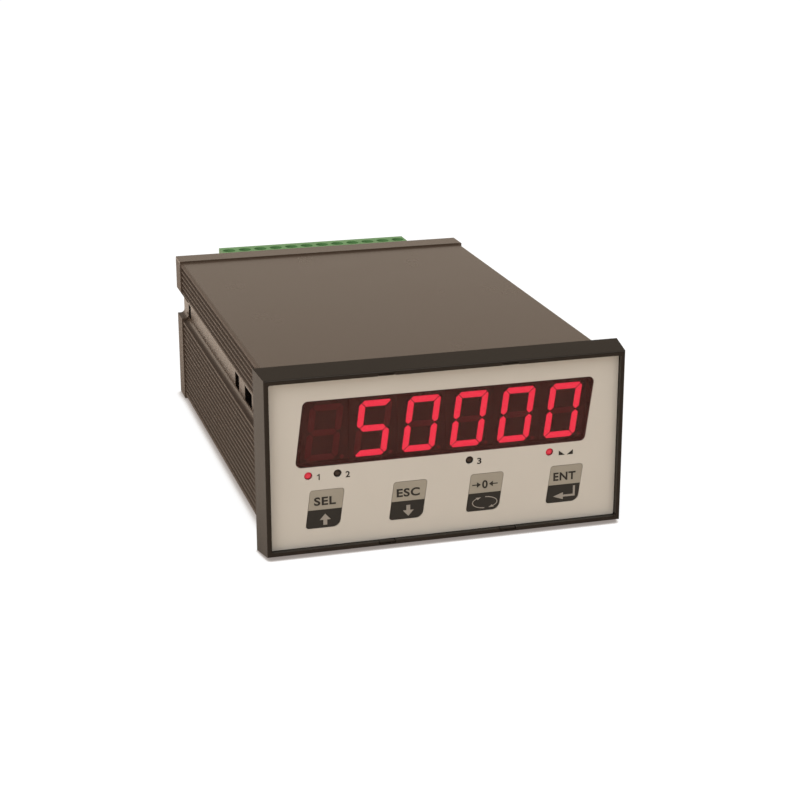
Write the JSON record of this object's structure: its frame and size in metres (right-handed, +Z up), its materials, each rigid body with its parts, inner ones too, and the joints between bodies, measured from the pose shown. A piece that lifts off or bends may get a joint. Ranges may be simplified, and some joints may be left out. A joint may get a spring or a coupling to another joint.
{
  "type": "weight indicator",
  "caption": "Panel-mounted weight indicator with a ribbed case, a foil front with a red numeric display and keys, and plug-in terminal strips at the rear.",
  "frame": {"origin": "under the middle of the whole object, on the plane of the bezel's underside", "axes": "+X right seen from the front, +Y from the front to the rear, +Z up"},
  "size_m": [0.096, 0.1468, 0.048],
  "materials": {
    "case_plastic": "satin moulded, dark grey-brown",
    "bezel_plastic": "fine-textured, near black",
    "front_foil": "matt printed foil, warm light grey",
    "key_foil": "matt printed foil, grey over charcoal",
    "red_filter": "clear dark red",
    "digit_housing": "matt dark moulding",
    "lit_segment": "glowing red light pipe",
    "dark_segment": "unlit red light pipe",
    "black_plastic": "plain moulding",
    "circuit_board": "solder-masked laminate",
    "core_steel": "stacked sheets",
    "coil_copper": "varnished winding",
    "relay_plastic": "moulded cap",
    "terminal_green": "moulded polyamide",
    "tin_plate": "tinned"
  },
  "bodies": {
    "housing": {"case_shell": "case_plastic", "front_bezel": "bezel_plastic", "front_plate": "black_plastic", "front_overlay": "front_foil", "display_window": "red_filter", "display_board": "circuit_board", "digit_1": "digit_housing", "digit_2": "digit_housing", "digit_3": "digit_housing", "digit_4": "digit_housing", "digit_5": "digit_housing", "digit_6": "digit_housing", "lit_segments": "lit_segment", "dark_segments": "dark_segment", "lit_lamps": "lit_segment", "dark_lamps": "dark_segment", "switch_bodies": "black_plastic", "main_board": "circuit_board", "front_link": "black_plastic", "rear_link": "black_plastic", "transformer_core": "core_steel", "transformer_coil": "coil_copper", "relays": "relay_plastic", "filter_capacitors": "black_plastic", "regulator": "black_plastic", "processor": "black_plastic", "converter": "black_plastic", "crystal": "tin_plate", "terminal_board": "circuit_board", "upper_header": "terminal_green", "upper_pins": "tin_plate", "lower_header": "terminal_green", "lower_pins": "tin_plate"},
    "first_key": {"key_1": "key_foil", "plunger_1": "black_plastic"},
    "second_key": {"key_2": "key_foil", "plunger_2": "black_plastic"},
    "third_key": {"key_3": "key_foil", "plunger_3": "black_plastic"},
    "fourth_key": {"key_4": "key_foil", "plunger_4": "black_plastic"},
    "upper_terminal": {"upper_plug": "terminal_green", "upper_cages": "tin_plate", "upper_screws": "tin_plate"},
    "lower_terminal": {"lower_plug": "terminal_green", "lower_cages": "tin_plate", "lower_screws": "tin_plate"}
  },
  "joints": [
    {"name": "first_key_press", "type": "slide", "parent": "housing", "child": "first_key", "axis": [0, 1, 0], "range_m": [0, 0.0004], "stiffness_N_per_m": 400},
    {"name": "second_key_press", "type": "slide", "parent": "housing", "child": "second_key", "axis": [0, 1, 0], "range_m": [0, 0.0004], "stiffness_N_per_m": 400},
    {"name": "third_key_press", "type": "slide", "parent": "housing", "child": "third_key", "axis": [0, 1, 0], "range_m": [0, 0.0004], "stiffness_N_per_m": 400},
    {"name": "fourth_key_press", "type": "slide", "parent": "housing", "child": "fourth_key", "axis": [0, 1, 0], "range_m": [0, 0.0004], "stiffness_N_per_m": 400},
    {"name": "upper_terminal_pull", "type": "slide", "parent": "housing", "child": "upper_terminal", "axis": [0, 1, 0], "range_m": [0, 0.01]},
    {"name": "lower_terminal_pull", "type": "slide", "parent": "housing", "child": "lower_terminal", "axis": [0, 1, 0], "range_m": [0, 0.01]}
  ]
}
